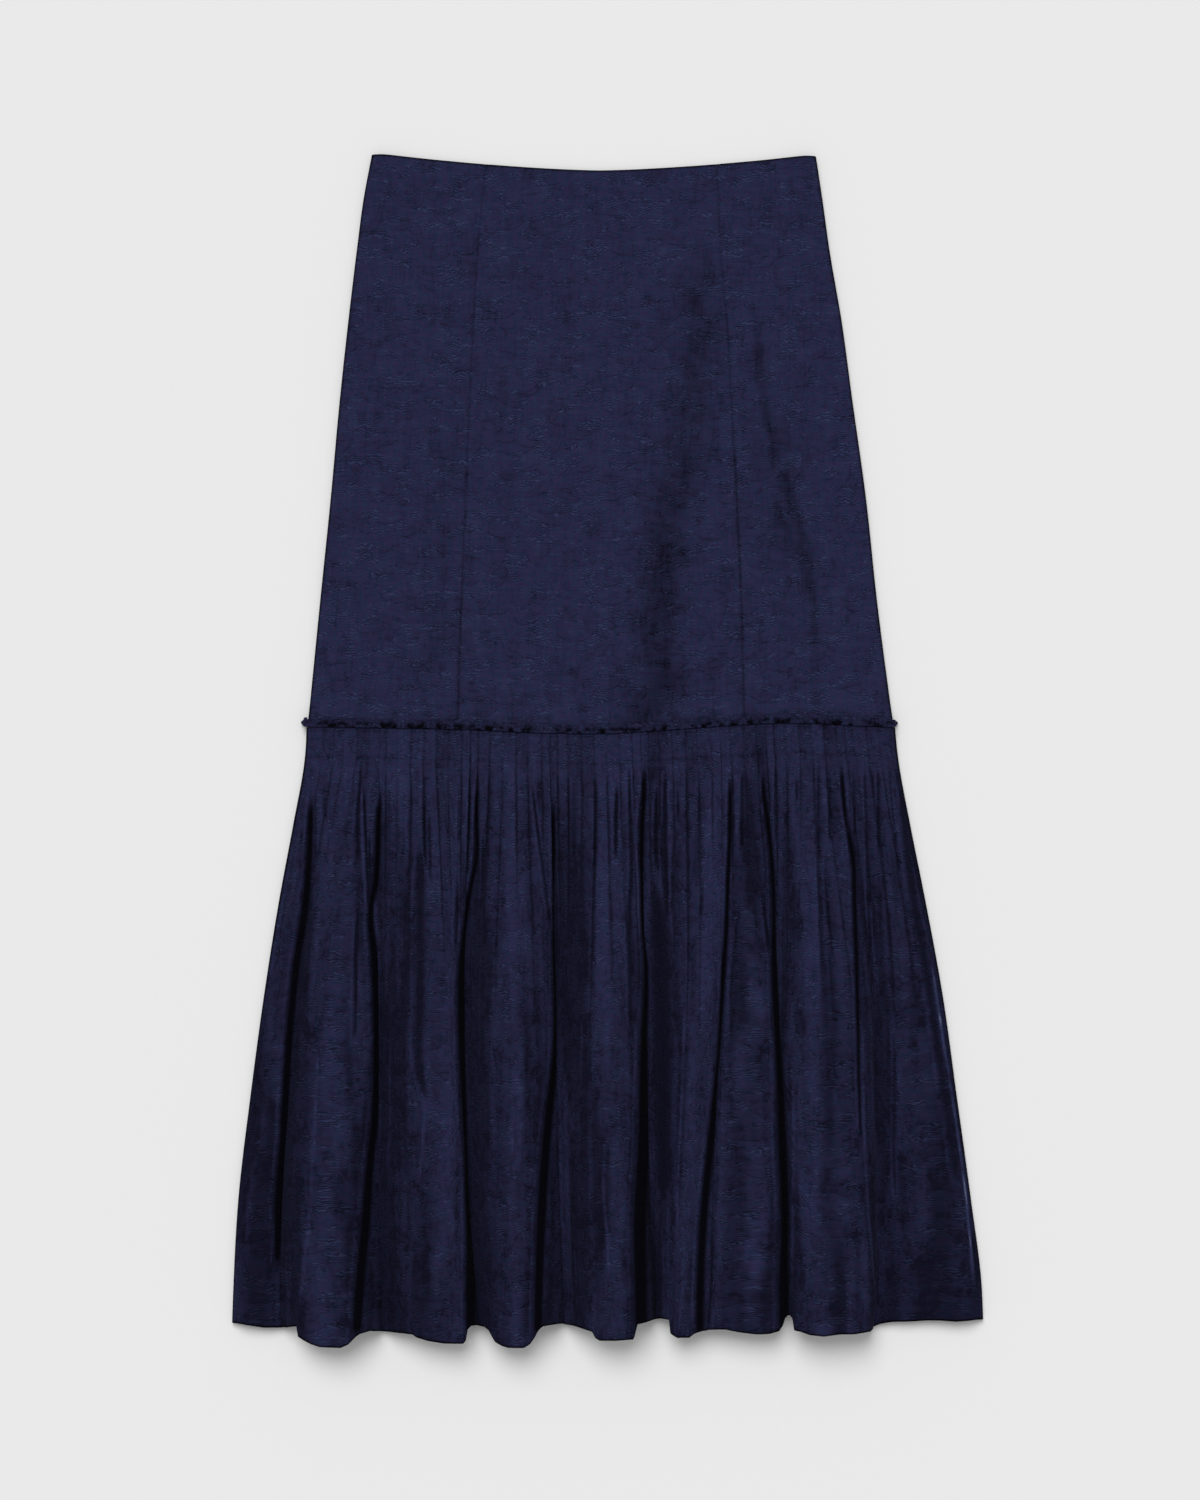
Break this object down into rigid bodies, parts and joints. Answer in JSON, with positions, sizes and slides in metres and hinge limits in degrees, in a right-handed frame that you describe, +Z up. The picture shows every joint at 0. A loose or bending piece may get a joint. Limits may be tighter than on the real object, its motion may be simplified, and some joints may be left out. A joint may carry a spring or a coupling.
{
  "type": "flounced maxi skirt",
  "caption": "Long flared skirt laid flat: gored upper, narrow gathered frill in the joining seam, tucked flounce falling into soft folds, closed side zip.",
  "frame": {"origin": "on the ground under the middle of the skirt's box as it lies", "axes": "+Z up out of the front, +Y towards the waist, +X to the viewer's right as the front is seen"},
  "size_m": [0.5992, 0.949, 0.0295],
  "materials": {
    "jacquard": "crinkled woven jacquard, navy on navy, soft low sheen",
    "zip_tape": "flat woven tape with a closed nylon coil"
  },
  "bodies": {
    "root": {"gore_front_left": "jacquard", "gore_front_centre": "jacquard", "gore_front_right": "jacquard", "gore_back_left": "jacquard", "gore_back_centre": "jacquard", "gore_back_right": "jacquard", "flounce_front": "jacquard", "flounce_back": "jacquard", "frill_front": "jacquard", "frill_back": "jacquard", "side_zip": "zip_tape"}
  },
  "joints": []
}
